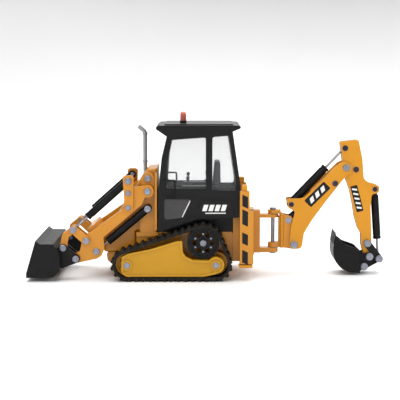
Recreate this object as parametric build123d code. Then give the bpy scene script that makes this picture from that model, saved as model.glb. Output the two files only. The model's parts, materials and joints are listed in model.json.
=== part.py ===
from build123d import *
import os
from math import asin, atan2, cos, degrees, hypot, pi, sin

# Toy backhoe loader, scale 1:32, in millimetres.
# X runs along the machine: loader bucket at -X, digging arm at +X. Z is up, the ground is z = 0.
# Points are (x, z) in the machine's side view. Left means the -Y side.

# ---- driving dimensions ----
UPRIGHT = (Align.CENTER, Align.CENTER, Align.MIN)

PIN = 1.0                      # radius of the loader's pins
THIN_PIN = 0.8                 # radius of the digging arm's pins
FIT = 0.05                     # radial clearance of a running fit

TRACK_IN = 15.0                # |y| of the belt's inner edge
TRACK_OUT = 25.0               # |y| of the belt's outer edge
LUG_HEIGHT = 1.0
LUG_PITCH = 3.3
BELT_THICK = 1.1
FRONT_IDLER = (-37.9, 7.8)
REAR_IDLER = (3.8, 7.8)
DRIVE_WHEEL = (-2.2, 17.9)
IDLER_LOOP = 7.8               # radius of the lug tips round an idler
DRIVE_LOOP = 9.8               # radius of the lug tips round the drive wheel

CHASSIS_TOP = 22.0
CHASSIS_HALF = 13.0
CAB_HALF = 19.0
CAB_WALL = 1.2
CAB_SPLIT = 40.0               # height where the cab frame stands on the cab base
ROOF_TOP = 73.5
CAB_OUTLINE = [
    (-23.4, 22.6), (-5.5, 28.7), (15.4, 29.7), (15.4, 44.5), (11.6, 70.1),
    (-19.3, 67.8), (-21.7, 57.8), (-22.6, 49.2), (-23.4, 40.0),
]
DOOR_WINDOW = [(-19.8, 43.5), (-18.9, 57.2), (-17.0, 66.2), (-0.8, 67.4), (-0.8, 43.5)]
REAR_WINDOW = [(2.1, 42.4), (2.1, 67.6), (9.8, 68.2), (13.2, 45.6), (13.2, 42.4)]
LOW_WINDOW = [(-20.6, 28.4), (-20.6, 38.3), (-7.4, 38.3), (-11.7, 29.4)]
BEACON = (-11.7, -5.0)         # (x, y) of the beacon's axis
BEACON_FOOT = ROOF_TOP - 1.5   # the beacon's stem goes this deep into the roof
BEACON_STEM = 0.8              # radius of that stem
BEACON_COLLAR = 1.1            # height of the collar that carries the lens
EXHAUST = (-30.6, 8.0)         # (x, y) of the exhaust pipe's axis
EXHAUST_FOOT = 40.0
EXHAUST_PIPE = 1.0             # outer radius of the pipe

ARM_PIVOT = (-28.4, 42.0)
TOWER_BOLT = (-28.4, 47.7)
LIFT_FOOT = (-28.4, 33.7)
LIFT_EYE = (-52.7, 13.4)
TILT_FOOT = (-37.4, 47.0)
EAR_RIVETS = ((-37.4, 41.3), (-37.4, 34.4))
ROCKER_PIVOT = (-57.4, 18.7)
ROCKER_TIP = (-63.4, 23.9)
LINK_END = (-68.4, 15.3)
BUCKET_PIVOT = (-62.4, 10.1)
CROSS_TUBE = (-54.2, 23.0)     # middle of the tube between the arms
TUBE_SIDE = 4.2
ARM_Y = (14.4, 18.2)           # the arm, its link and its rams share this layer
ARM_MID = 16.2
INNER_PLATE = (12.7, 13.9)     # rocker plates and bucket ears, inside the arm
OUTER_PLATE = (18.5, 19.7)     # and outside it
EAR_PLATE = (18.2, 19.7)
BUCKET_HALF = 25.0
BUCKET_EDGE = -85.2

BOOM_FOOT = (41.8, 14.5)
BOOM_RAM_FOOT = (39.2, 26.2)
BOOM_RAM_EYE = (61.4, 44.3)
DIPPER_PIVOT = (66.8, 51.9)
DIPPER_RAM_FOOT = (40.4, 34.1)
DIPPER_RAM_EYE = (66.2, 61.2)
DIPPER_SCREW = (71.6, 50.9)
CURL_RAM_FOOT = (80.9, 41.4)
CURL_ROCKER_PIVOT = (77.5, 15.0)
CURL_ROCKER_TIP = (83.4, 7.4)
CURL_LINK_END = (76.0, 3.8)
DIGGER_PIVOT = (78.5, 8.7)
BOOM_Y = (3.5, 4.6)            # each boom wall
DIPPER_Y = (1.6, 3.2)          # each dipper wall, between the boom walls
SWING_AXIS = (31.8, 0.0)       # (x, y) of the upright swing pin
SWING_PIN = 0.9
LEG_Y = (17.0, 22.0)           # leg housing
NECK = 3.2                     # distance from a ram's foot pin to its full-width barrel


# ---- helpers ----
def flat(points):
    """Face with straight edges in the side view."""
    return make_face(Polyline(*points, close=True))


def soft(points, radius):
    """Face with straight edges and rounded corners in the side view."""
    return make_face(FilletPolyline(*points, radius=radius, close=True))


def disc(point, radius):
    """Circle face in the side view."""
    return Pos(*point) * Circle(radius)


def plate(sketch, y_low, y_high):
    """Side-view sketch as a plate from y_low to y_high."""
    return extrude(Plane.XZ.offset(-y_high) * sketch, amount=y_high - y_low)


def tangents(start, end, start_radius, end_radius):
    """Points where the line on the left of start-end touches two circles."""
    length = hypot(end[0] - start[0], end[1] - start[1])
    heading = atan2(end[1] - start[1], end[0] - start[0])
    side = heading + pi / 2 + asin((end_radius - start_radius) / length)
    touch = (cos(side), sin(side))
    first = (start[0] + start_radius * touch[0], start[1] + start_radius * touch[1])
    last = (end[0] + end_radius * touch[0], end[1] + end_radius * touch[1])
    return first, last


def loop(circles):
    """Face inside a tight band round (point, radius) circles listed clockwise."""
    corners = []
    for index, (point, radius) in enumerate(circles):
        after, after_radius = circles[(index + 1) % len(circles)]
        corners += tangents(point, after, radius, after_radius)
    face = flat(corners)
    for point, radius in circles:
        face += disc(point, radius)
    return face


def bar(start, end, start_radius, end_radius):
    """Face of a link with two round ends."""
    return loop([(start, start_radius), (end, end_radius)])


def box(low, high):
    """Block between two (x, y, z) corners."""
    size = [high[axis] - low[axis] for axis in range(3)]
    return Pos(*low) * Box(*size, align=(Align.MIN, Align.MIN, Align.MIN))


def rod(point, radius, y_low, y_high):
    """Cylinder along Y."""
    return plate(disc(point, radius), y_low, y_high)


def upright(centre, radius, z_low, z_high):
    """Cylinder along Z at an (x, y) centre."""
    return Pos(*centre, z_low) * Cylinder(radius, z_high - z_low, align=UPRIGHT)


def mirrored(part):
    """The same part on the other side of the middle plane."""
    return mirror(part, Plane.XZ)


def pair(part):
    """Left and right copies as two separate solids."""
    return Compound(children=[*part.solids(), *mirrored(part).solids()])


def group(*parts):
    """Several solids kept apart in one sub-part."""
    return Compound(children=[solid for part in parts for solid in part.solids()])


def along(start, end, y=0.0):
    """Plane at start whose Z axis points to end in the side view."""
    aim = Vector(end[0] - start[0], 0, end[1] - start[1])
    return Plane(origin=(start[0], y, start[1]), x_dir=(0, 1, 0), z_dir=aim)


def save(name, part):
    """Writes one sub-part as a STEP file."""
    export_step(part, f"parts/{name}.step")


# ---- tracks ----
def belt_circles(inset):
    """Clockwise circles that the belt wraps, inset from the lug tips."""
    return [
        (FRONT_IDLER, IDLER_LOOP - inset),
        (DRIVE_WHEEL, DRIVE_LOOP - inset),
        (REAR_IDLER, IDLER_LOOP - inset),
    ]


def belt_stations(circles, pitch):
    """Evenly spaced (x, z, heading) places along the belt's outer face."""
    spans = []
    count = len(circles)
    for index in range(count):
        point, radius = circles[index]
        after, after_radius = circles[(index + 1) % count]
        first, last = tangents(point, after, radius, after_radius)
        heading = atan2(last[1] - first[1], last[0] - first[0])
        spans.append(("run", first, heading, hypot(last[0] - first[0], last[1] - first[1])))
        beyond, beyond_radius = circles[(index + 2) % count]
        leave = tangents(after, beyond, after_radius, beyond_radius)
        turn = heading - atan2(leave[1][1] - leave[0][1], leave[1][0] - leave[0][0])
        turn %= 2 * pi
        spans.append(("bend", (after, after_radius), heading, turn * after_radius))
    total = sum(span[3] for span in spans)
    lugs = round(total / pitch)
    stations = []
    for number in range(lugs):
        distance = number * total / lugs
        for kind, place, heading, length in spans:
            if distance <= length:
                break
            distance -= length
        if kind == "run":
            x = place[0] + distance * cos(heading)
            z = place[1] + distance * sin(heading)
            stations.append((x, z, heading))
        else:
            (centre, radius) = place
            angle = heading - distance / radius
            x = centre[0] + radius * cos(angle + pi / 2)
            z = centre[1] + radius * sin(angle + pi / 2)
            stations.append((x, z, angle))
    return stations


def track_belt():
    """Moulded rubber belt with tapered lugs outside."""
    outer = belt_circles(LUG_HEIGHT)
    ring = loop(outer) - loop(belt_circles(LUG_HEIGHT + BELT_THICK))
    lug = flat([(-1.0, -0.3), (1.0, -0.3), (0.6, LUG_HEIGHT), (-0.6, LUG_HEIGHT)])
    for x, z, heading in belt_stations(outer, LUG_PITCH):
        ring += Pos(x, z) * Rot(0, 0, degrees(heading)) * lug
    return plate(ring, -TRACK_OUT, -TRACK_IN)


def track_wheel(point, radius, spokes, outer, inner):
    """Wheel from |y| = inner to outer with a dished face, round holes and a bored hub."""
    wheel = rod(point, radius, -outer, -inner)
    wheel -= rod(point, radius - 1.1, -outer, -outer + 0.9)
    wheel += rod(point, 2.0, -outer, -outer + 1.0)
    for number in range(spokes):
        angle = 2 * pi * number / spokes
        reach = radius * 0.56
        hole = (point[0] + reach * cos(angle), point[1] + reach * sin(angle))
        wheel -= rod(hole, radius * 0.15, -outer, -inner)
    return wheel - rod(point, PIN + FIT, -22, -15)


def track_frame():
    """Side frame outside the wheels, with a raised rim and a low rail between them."""
    front, rear = FRONT_IDLER, REAR_IDLER
    outline = flat([
        (front[0] - 2.9, 6.0), (front[0] - 2.4, 11.8), (front[0] + 0.8, 13.4),
        (-27.0, 15.4), (-14.6, 19.2), (-12.1, 19.3), (-11.8, 14.0), (-10.4, 11.8), (-7.0, 10.2),
        (0.6, 10.0), (rear[0], 11.2), (rear[0], 3.6), (-2.0, 2.4), (front[0] + 1.0, 2.4),
    ])
    outline += disc(rear, 3.9)
    outline += disc((front[0] + 0.9, 6.0), 3.7)
    frame = plate(outline, -24.4, -21.5)
    rim = plate(offset(outline, -1.1, kind=Kind.INTERSECTION), -24.4, -23.9)
    frame -= rim
    for boss in (front, rear):
        frame += rod(boss, 2.6, -24.6, -21.5)
    frame += box((front[0] + 8.5, -21.5, 3.4), (rear[0] - 8.5, -15.6, 5.0))
    for boss in (front, rear, DRIVE_WHEEL):
        frame -= rod(boss, PIN, -25, -21)
    return frame


def track_axles():
    """Two idler axles and the drive axle, each with riveted ends."""
    axles = []
    for point in (FRONT_IDLER, REAR_IDLER):
        axle = rod(point, PIN, -24.6, 24.6)
        axle += rod(point, 1.5, 24.6, 25.0) + rod(point, 1.5, -25.0, -24.6)
        axles.append(axle)
    axles.append(rod(DRIVE_WHEEL, PIN, -21.9, 21.9))
    axles[-1] += rod(DRIVE_WHEEL, 1.5, 21.4, 21.9) + rod(DRIVE_WHEEL, 1.5, -21.9, -21.4)
    return group(*axles)


# ---- chassis ----
def chassis_frame():
    """Tub between the tracks with a nose, a rear plate and axle bores."""
    tub = plate(
        soft([(-34, 4), (9, 4), (12, 8), (12, CHASSIS_TOP), (-34, CHASSIS_TOP)], 1.0),
        -CHASSIS_HALF, CHASSIS_HALF,
    )
    nose = plate(soft([(-48, 8), (-44, 4.5), (-33, 4.5), (-33, 12), (-48.6, 12)], 1.2), -11, 11)
    rear = box((12, -14, 8), (15, 14, 29))
    shelf = box((-34, -14.4, 20), (-23.6, 14.4, CHASSIS_TOP))
    frame = tub + nose + rear + shelf
    for point in (FRONT_IDLER, REAR_IDLER, DRIVE_WHEEL):
        frame -= rod(point, PIN, -30, 30)
    return frame


def engine_hood():
    """Sloping hood with rounded shoulders and a flat top in front of the cab."""
    side = soft([
        (-49.6, 12), (-50.4, 21.5), (-46.5, 25.0), (-31.5, 48.0), (-28.5, 52.0), (-23.8, 52.6),
        (-23.8, CHASSIS_TOP), (-34.4, CHASSIS_TOP), (-34.4, 12),
    ], [1.0, 2.5, 1.5, 2.0, 2.0, 0.3, 0.3, 0.3, 0.3])
    hood = plate(side, -11.2, 11.2)
    front = hood.faces().filter_by(lambda face: face.normal_at().X < -0.5)
    edges = [edge for face in front for edge in face.edges() if abs(edge.center().Y) > 11]
    hood = fillet(edges, 1.2)
    for level in range(4):
        z = 13.6 + 1.9 * level
        hood -= box((-52, -7.5, z), (-49.9, 7.5, z + 1.0))
    return hood - upright(EXHAUST, EXHAUST_PIPE, EXHAUST_FOOT, 60.0)


def exhaust_stack():
    """Vertical pipe whose end bends forwards, open at the tip."""
    x, y = EXHAUST
    foot, bend, tip = (x, y, EXHAUST_FOOT), (x, y, 68.6), (x - 3.2, y, 71.2)
    path = FilletPolyline(foot, bend, tip, radius=2.6)
    pipe = sweep(Plane(origin=foot, z_dir=(0, 0, 1)) * Circle(EXHAUST_PIPE), path=path)
    return pipe - Plane(origin=tip, z_dir=(-3.2, 0, 2.6)) * Cylinder(0.7, 3.0)


def loader_tower():
    """Upright plate beside the hood with a rear flange that stiffens it."""
    outline = loop([((-28.4, 47.7), 3.0), ((-27.2, 24.0), 2.6), ((-29.6, 24.0), 2.6)])
    outline += flat([(-32.2, CHASSIS_TOP), (-32.2, 27), (-24.6, 27), (-24.6, CHASSIS_TOP)])
    outline &= flat([(-33, CHASSIS_TOP), (-33, 51), (-24.0, 51), (-24.0, CHASSIS_TOP)])
    tower = plate(outline, -14.0, -11.5)
    tower += box((-25.0, -17.6, 23.5), (-24.0, -11.5, 50.4))
    for point in (ARM_PIVOT, LIFT_FOOT, TOWER_BOLT):
        tower -= rod(point, PIN, -15, -11)
    return tower


def headed_pin(point, radius, inner, outer, head, cap=0.7):
    """Pin on the left side from |y| = inner out to a flat head beyond |y| = outer."""
    return rod(point, radius, -outer, -inner) + rod(point, head, -outer - cap, -outer)


def tower_pins():
    """Arm pivots, lift ram feet and tower bolts."""
    pins = [headed_pin(ARM_PIVOT, PIN, 11.5, 18.5, 1.6)]
    pins.append(headed_pin(LIFT_FOOT, PIN, 11.5, 18.5, 1.6))
    pins.append(headed_pin(TOWER_BOLT, PIN, 11.5, 14.0, 1.6))
    return pair(group(*pins))


# ---- cab ----
def cab_shell():
    """Whole black cab wall with its door, side, front and rear window openings."""
    outline = flat(CAB_OUTLINE)
    shell = plate(outline, -CAB_HALF, CAB_HALF)
    room = offset(outline, -CAB_WALL, kind=Kind.INTERSECTION)
    room += flat([(-16, 60), (-16, 80), (9, 80), (9, 60)])
    inner = CAB_HALF - CAB_WALL
    shell -= plate(room, -inner, inner)
    shell = shell.solids().sort_by(SortBy.VOLUME)[-1]
    for window in (DOOR_WINDOW, REAR_WINDOW, LOW_WINDOW):
        shell -= plate(soft(window, 1.2), -20, 20)
    shell -= box((-26, -15.8, 43.5), (-14, 15.8, 65.4))
    shell -= box((8, -15.8, 46.0), (18, 15.8, 67.0))
    return shell


def cab_base(shell):
    """Lower cab: tub with a raised contour on each side panel, on the chassis."""
    base = shell & box((-30, -25, 10), (20, 25, CAB_SPLIT))
    base += box((-23.4, -13.0, CHASSIS_TOP), (11.8, 13.0, 31.0))
    contour = soft([(-6.2, 29.6), (-3.2, 37.8), (10.6, 37.8), (12.6, 31.0)], 1.5)
    base += plate(contour, -19.4, -18.0) + plate(contour, 18.0, 19.4)
    return base


def cab_frame(shell):
    """Posts, sill and header, with the door's hinge knobs on the middle post."""
    frame = shell & box((-30, -25, CAB_SPLIT), (20, 25, 80))
    for point in ((-0.2, 66.0), (-0.2, 47.5)):
        frame += rod(point, 0.9, -19.9, -18.0) + rod(point, 0.9, 18.0, 19.9)
    return frame


def cab_roof():
    """Roof with slanted front and rear fascias and a stepped top panel."""
    outline = soft([
        (-19.3, 67.8), (11.6, 70.1), (15.2, 71.6), (15.4, 72.4), (14.2, ROOF_TOP - 0.5),
        (-23.0, ROOF_TOP - 0.5), (-24.3, 72.2), (-24.2, 71.2),
    ], 0.35)
    roof = plate(outline, -19.0, 19.0)
    panel = box((-20.5, -16.0, ROOF_TOP - 1.0), (12.0, 16.0, ROOF_TOP))
    panel = fillet(panel.edges().filter_by(Axis.Z), 2.0)
    roof += panel
    return roof - upright(BEACON, BEACON_STEM, BEACON_FOOT, ROOF_TOP + 2.5)


def beacon_base():
    """Collar on the roof with a stem into it."""
    collar = upright(BEACON, 1.6, ROOF_TOP, ROOF_TOP + BEACON_COLLAR)
    return collar + upright(BEACON, BEACON_STEM, BEACON_FOOT, ROOF_TOP + 0.1)


def beacon_lens():
    """Domed lens with a moulded step round its foot."""
    foot = ROOF_TOP + BEACON_COLLAR
    lens = upright(BEACON, 1.3, foot, foot + 4.3)
    lens = fillet(lens.edges().group_by(Axis.Z)[-1], 1.0)
    return lens + upright(BEACON, 1.5, foot, foot + 0.6)


def cab_glazing():
    """One clear moulding: four thin panes inside the cab wall, open above and below."""
    outline = offset(flat(CAB_OUTLINE), -CAB_WALL - 0.1, kind=Kind.INTERSECTION)
    walls = outline & flat([(-30, 31.4), (-30, 69.0), (20, 69.0), (20, 31.4)])
    inside = offset(flat(CAB_OUTLINE), -CAB_WALL - 0.7, kind=Kind.INTERSECTION)
    inside += flat([(-15.5, 60), (-15.5, 80), (8, 80), (8, 60)])
    inside += flat([(-21.4, 20), (-21.4, 38), (13.4, 38), (13.4, 20)])
    panes = plate(walls, -17.7, 17.7) - plate(inside, -17.1, 17.1)
    return panes.solids().sort_by(SortBy.VOLUME)[-1]


def cab_interior():
    """Seat, two consoles and levers in one moulding on the cab floor."""
    floor = box((-21.0, -16.6, 31.0), (13.0, 16.6, 32.0))
    seat = plate(soft([(-4.5, 32), (-4.5, 41.0), (2.0, 40.2), (3.4, 55.0), (6.0, 55.0), (6.4, 32)],
                      [0.5, 1.2, 0.8, 1.2, 1.2, 0.5]), -6.5, 6.5)
    moulding = floor + seat
    for side in (-1, 1):
        y = side * 10.0
        moulding += box((-12.0, y - 2.4, 31.5), (5.0, y + 2.4, 43.8))
        moulding += upright((-9.5, y), 0.5, 43.0, 47.2) + Pos(-9.5, y, 47.6) * Sphere(0.9)
    return moulding


def grab_handle():
    """D-shaped rail across the front corner of the door, fixed to the cab at both ends."""
    wall, out, low, high = 0.2 - CAB_HALF, -0.7 - CAB_HALF, 39.5, 47.3
    path = FilletPolyline(
        (-18.9, wall, low), (-18.9, out, low), (-15.5, out, low),
        (-15.5, out, high), (-20.7, out, high), (-20.7, wall, high), radius=0.6,
    )
    rail = sweep(Plane(origin=(-18.9, wall, low), z_dir=(0, -1, 0)) * Circle(0.45), path=path)
    return rail - plate(flat(CAB_OUTLINE), -CAB_HALF, CAB_HALF)


# ---- rear frame and stabilisers ----
def rear_frame():
    """Two rails between leg housings, with a groove in each rail for the carriage."""
    frame = box((15.0, -17.2, 8.0), (16.2, 17.2, 30.5))
    for low, high, groove in ((27.4, 30.5, 29.4), (11.0, 14.1, 12.1)):
        frame += box((16.0, -17.2, low), (20.4, 17.2, high))
        cut = (groove, high) if low > 20 else (low, groove)
        frame -= box((17.4, -17.0, cut[0]), (19.0, 17.0, cut[1]))
    for side in (-1, 1):
        near, far = (LEG_Y[0], LEG_Y[1]) if side > 0 else (-LEG_Y[1], -LEG_Y[0])
        frame += box((15.0, near, 8.0), (19.5, far, 42.4))
        flange = (19.6, 22.0) if side > 0 else (-22.0, -19.6)
        frame += box((19.4, flange[0], 8.0), (21.4, flange[1], 33.0))
        middle = (near + far) / 2
        frame -= box((15.9, middle - 1.5, 7.0), (18.6, middle + 1.5, 46.0))
    return frame - plate(flat(CAB_OUTLINE), -CAB_HALF, CAB_HALF)


def stabiliser_leg():
    """Square sliding leg with a wide foot pad."""
    leg = box((16.0, -20.9, 7.0), (18.5, -18.1, 45.3))
    leg = chamfer(leg.edges().group_by(Axis.Z)[-1], 0.4)
    foot = box((14.6, -22.4, 6.1), (21.0, -16.6, 7.4))
    return leg + chamfer(foot.edges().group_by(Axis.Z)[0], 0.4)


def sideshift_carriage():
    """Plate that hooks over both rails, with a column and the swing fork's two arms."""
    back = box((20.7, -7.5, 10.6), (22.4, 7.5, 31.2))
    back += box((17.7, -5.5, 30.8), (22.4, 5.5, 31.8)) + box((17.7, -5.5, 29.7), (18.7, 5.5, 31.0))
    back += box((17.7, -5.5, 9.7), (22.4, 5.5, 10.7)) + box((17.7, -5.5, 10.5), (18.7, 5.5, 11.8))
    back += box((22.2, -3.6, 10.4), (25.4, 3.6, 31.1))
    for low, high in ((27.4, 29.0), (10.4, 12.6)):
        back += upright(SWING_AXIS, 2.6, low, high)
        back += box((25.0, -2.6, low), (SWING_AXIS[0], 2.6, high))
    return back - upright(SWING_AXIS, SWING_PIN, 5, 35)


def swing_pin():
    """Upright pin with a flat head at each end."""
    pin = upright(SWING_AXIS, SWING_PIN, 10.4, 31.4)
    return pin + upright(SWING_AXIS, 1.5, 9.7, 10.4) + upright(SWING_AXIS, 1.5, 31.4, 32.1)


def kingpost():
    """Swing post: two eyes on the pin, a box column and two cheeks for the boom and its ram."""
    column = box((35.0, -4.2, 12.9), (36.9, 4.2, 29.2))
    column = chamfer(column.edges().filter_by(Axis.Z), 0.6)
    cheek = loop([(BOOM_RAM_FOOT, 2.3), (BOOM_FOOT, 2.4), ((36.5, 14.8), 1.9), ((36.5, 27.2), 1.9)])
    post = column + plate(cheek, -3.2, -2.3) + plate(cheek, 2.3, 3.2)
    for low, high in ((29.3, 31.1), (12.9, 15.2)):
        post += upright(SWING_AXIS, 2.4, low, high)
        post += box((SWING_AXIS[0], -2.4, low), (35.4, 2.4, high))
    post += plate(flat([(33.6, 29.3), (33.6, 31.1), (36.9, 29.2), (36.9, 27.8)]), -2.4, 2.4)
    post -= box((28.0, -2.8, 15.2), (34.9, 2.8, 29.3))
    post -= upright(SWING_AXIS, SWING_PIN + FIT, 5, 35)
    for point in (BOOM_FOOT, BOOM_RAM_FOOT):
        post -= rod(point, THIN_PIN, -4, 4)
    return post


def cross_pin(point, radius, half, head, cap=0.6):
    """Pin right through the digging arm with a head at each end."""
    pin = rod(point, radius, -half, half)
    return pin + rod(point, head, half, half + cap) + rod(point, head, -half - cap, -half)


def kingpost_pins():
    """Boom foot pin and the boom ram's foot pin."""
    return group(cross_pin(BOOM_FOOT, THIN_PIN, 4.9, 1.8), cross_pin(BOOM_RAM_FOOT, THIN_PIN, 3.2, 1.5, 0.2))


# ---- digging arm ----
def boom_half():
    """Left half of the boom: side wall with the upper and lower webs that meet its twin."""
    outline = soft([
        (39.4, 12.4), (39.8, 17.1), (40.3, 23.4), (42.3, 30.7), (39.0, 32.4), (38.2, 36.8),
        (46.2, 37.1), (63.3, 53.9), (66.0, 55.0), (69.2, 53.4), (69.4, 49.8), (65.7, 46.8),
        (56.9, 35.4), (50.6, 26.8), (46.6, 20.0), (45.6, 12.4),
    ], [1.8, 6, 4, 1.5, 0.9, 0.9, 4, 3, 1.8, 1.5, 2, 4, 20, 10, 6, 2.2])
    wall = plate(outline, -BOOM_Y[1], -BOOM_Y[0])
    upper = flat([(50.0, 40.2), (62.8, 52.6), (63.4, 51.9), (50.6, 39.5)])
    lower = flat([(46.4, 20.6), (50.2, 27.4), (55.6, 35.0), (56.5, 34.4), (51.0, 26.7), (47.3, 20.2)])
    lower &= outline
    wall += plate(upper, -BOOM_Y[0] - 0.1, 0) + plate(lower, -BOOM_Y[0] - 0.1, 0)
    wall -= rod(BOOM_FOOT, THIN_PIN + FIT, -6, 0)
    for point in (BOOM_RAM_EYE, DIPPER_PIVOT, DIPPER_RAM_FOOT):
        wall -= rod(point, THIN_PIN, -6, 0)
    return wall


def boom_pins():
    """Boom ram eye, dipper pivot and dipper ram foot."""
    pins = [cross_pin(BOOM_RAM_EYE, THIN_PIN, BOOM_Y[1], 1.45, 0.3)]
    pins.append(cross_pin(DIPPER_PIVOT, THIN_PIN, BOOM_Y[1], 1.7, 0.5))
    pins.append(cross_pin(DIPPER_RAM_FOOT, THIN_PIN, BOOM_Y[1], 1.3, 0.2))
    return group(*pins)


def dipper_half():
    """Left half of the dipper: side wall, web along its back edge and a narrow lower end."""
    outline = soft([
        (63.8, 64.2), (64.6, 59.0), (65.2, 55.0), (64.7, 50.8), (66.7, 46.4), (68.9, 40.5),
        (70.3, 34.1), (71.3, 28.0), (73.0, 22.0), (74.6, 19.6), (74.8, 14.0), (76.9, 7.0),
        (80.1, 7.2), (79.6, 17.0), (78.9, 33.1), (79.4, 38.8), (83.0, 39.8), (83.0, 43.0),
        (77.9, 44.4), (75.4, 46.4), (74.6, 56.0), (72.6, 65.2),
    ], [1, 8, 8, 2, 6, 10, 10, 6, 3, 2, 5, 1.7, 1.7, 10, 10, 1.5, 1.5, 1.6, 3, 3, 8, 1])
    wall = plate(outline, -DIPPER_Y[1], -DIPPER_Y[0])
    web = flat([(68.2, 45.4), (70.2, 40.0), (72.4, 28.0), (73.2, 28.2), (71.2, 40.2), (69.2, 45.8)])
    web += flat([(73.2, 56.2), (72.0, 63.6), (72.9, 63.8), (74.1, 56.4)])
    wall += plate(web, -DIPPER_Y[0] - 0.1, 0)
    wall -= rod(DIPPER_PIVOT, THIN_PIN + FIT, -6, 0)
    wall -= rod(CURL_ROCKER_PIVOT, THIN_PIN + FIT, -6, 0)
    for point in (DIPPER_RAM_EYE, CURL_RAM_FOOT, DIPPER_SCREW, DIGGER_PIVOT):
        wall -= rod(point, THIN_PIN, -6, 0)
    return wall


def dipper_pins():
    """Dipper ram eye, assembly screw, curl ram foot and digging bucket pivot."""
    pins = [cross_pin(DIPPER_RAM_EYE, THIN_PIN, DIPPER_Y[1], 1.45, 0.25)]
    pins.append(cross_pin(DIPPER_SCREW, THIN_PIN, DIPPER_Y[1], 1.45, 0.25))
    pins.append(cross_pin(CURL_RAM_FOOT, THIN_PIN, DIPPER_Y[1], 1.3, 0.3))
    pins.append(cross_pin(DIGGER_PIVOT, THIN_PIN, 5.1, 1.8, 0.6))
    return group(*pins)


def ram_barrel(foot, eye, y, radius, length, bore, foot_half, pin=THIN_PIN):
    """Ram cylinder with a narrower neck at its foot eye and a collar at the open end."""
    plane = along(foot, eye, y)
    barrel = plane.offset(NECK) * Cylinder(radius, length - NECK, align=UPRIGHT)
    barrel += plane * Cylinder(foot_half, length / 2, align=UPRIGHT)
    barrel += rod(foot, max(foot_half, pin + 0.6), y - foot_half, y + foot_half)
    barrel -= plane.offset(NECK + 1.0) * Cylinder(bore, length, align=UPRIGHT)
    groove = plane.offset(length - 1.6) * Cylinder(radius + 1, 0.5)
    barrel -= groove - plane * Cylinder(radius - 0.2, 3 * length)
    return barrel - rod(foot, pin + FIT, y - 5, y + 5)


def ram_rod(foot, eye, y, radius, length, eye_radius, eye_half, pin=THIN_PIN):
    """Ram rod with a flat eye at its far end."""
    plane = along(eye, foot, y)
    stem = plane * Cylinder(radius, length, align=UPRIGHT)
    stem += rod(eye, eye_radius, y - eye_half, y + eye_half)
    return stem - rod(eye, pin + FIT, y - 5, y + 5)


def curl_rocker():
    """Two plates that join the curl ram to the digging bucket's link."""
    face = bar(CURL_ROCKER_PIVOT, CURL_ROCKER_TIP, 1.8, 1.8)
    plates = plate(face, -3.9, -3.3) + plate(face, 3.3, 3.9)
    for point in (CURL_ROCKER_PIVOT, CURL_ROCKER_TIP):
        plates -= rod(point, THIN_PIN, -6, 6)
    return plates


def curl_rocker_pins():
    """Rocker pivot and the pin through the ram eye and link."""
    return group(cross_pin(CURL_ROCKER_PIVOT, THIN_PIN, 3.9, 1.8, 0.5),
                 cross_pin(CURL_ROCKER_TIP, THIN_PIN, 3.9, 1.8, 0.6))


def curl_link():
    """Two link plates beside the ram's eye, from the rocker to the bucket."""
    face = bar(CURL_ROCKER_TIP, CURL_LINK_END, 1.5, 1.9)
    plates = plate(face, -2.6, -1.4) + plate(face, 1.4, 2.6)
    plates -= rod(CURL_ROCKER_TIP, THIN_PIN + FIT, -6, 6)
    return plates - rod(CURL_LINK_END, 1.35, -6, 6)


def digging_bucket():
    """Open bucket: curved back between two side plates, hitch ears and pointed teeth."""
    half = 8.0
    back = make_face(
        ThreePointArc((60.6, 13.0), (63.4, 4.6), (70.6, 1.3)) + Line((70.6, 1.3), (73.6, 1.2))
        + Line((73.6, 1.2), (77.2, 4.4)) + Line((77.2, 4.4), (74.6, 10.9))
        + Line((74.6, 10.9), (72.1, 13.0)) + Line((72.1, 13.0), (66.4, 15.0))
        + Line((66.4, 15.0), (61.4, 19.0)) + Line((61.4, 19.0), (60.6, 13.0)))
    shell = plate(back, -half, half)
    hollow = make_face(
        ThreePointArc((61.8, 12.6), (64.2, 5.6), (70.6, 2.5)) + Line((70.6, 2.5), (72.2, 2.5))
        + Line((72.2, 2.5), (72.4, 9.6)) + Line((72.4, 9.6), (75.0, 22.0))
        + Line((75.0, 22.0), (62.2, 22.0)) + Line((62.2, 22.0), (61.8, 12.6)))
    shell -= plate(hollow, 1.0 - half, half - 1.0)
    shell -= box((73.5, -9, 0), (80, -5, 16)) + box((73.5, 5, 0), (80, 9, 16))
    ear = loop([(DIGGER_PIVOT, 2.0), (CURL_LINK_END, 1.9), ((74.0, 8.6), 1.6)])
    shell += plate(ear, -5.0, -4.0) + plate(ear, 4.0, 5.0)
    shell -= plate(loop([(DIGGER_PIVOT, 3.0), (CURL_LINK_END, 2.6), ((77.2, 2.0), 2.0)]), -4.0, 4.0)
    tooth = flat([(60.6, 15.2), (61.6, 21.3), (62.4, 15.2)])
    for number in range(4):
        y = -6.6 + 4.4 * number
        shell += plate(tooth, y - 0.8, y + 0.8)
    shell -= rod(DIGGER_PIVOT, THIN_PIN + FIT, -9, 9)
    return shell - rod(CURL_LINK_END, THIN_PIN, -9, 9)


def digger_pin():
    """Pin that holds the link in the digging bucket's ears."""
    return cross_pin(CURL_LINK_END, THIN_PIN, 5.0, 1.8, 0.6)


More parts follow.
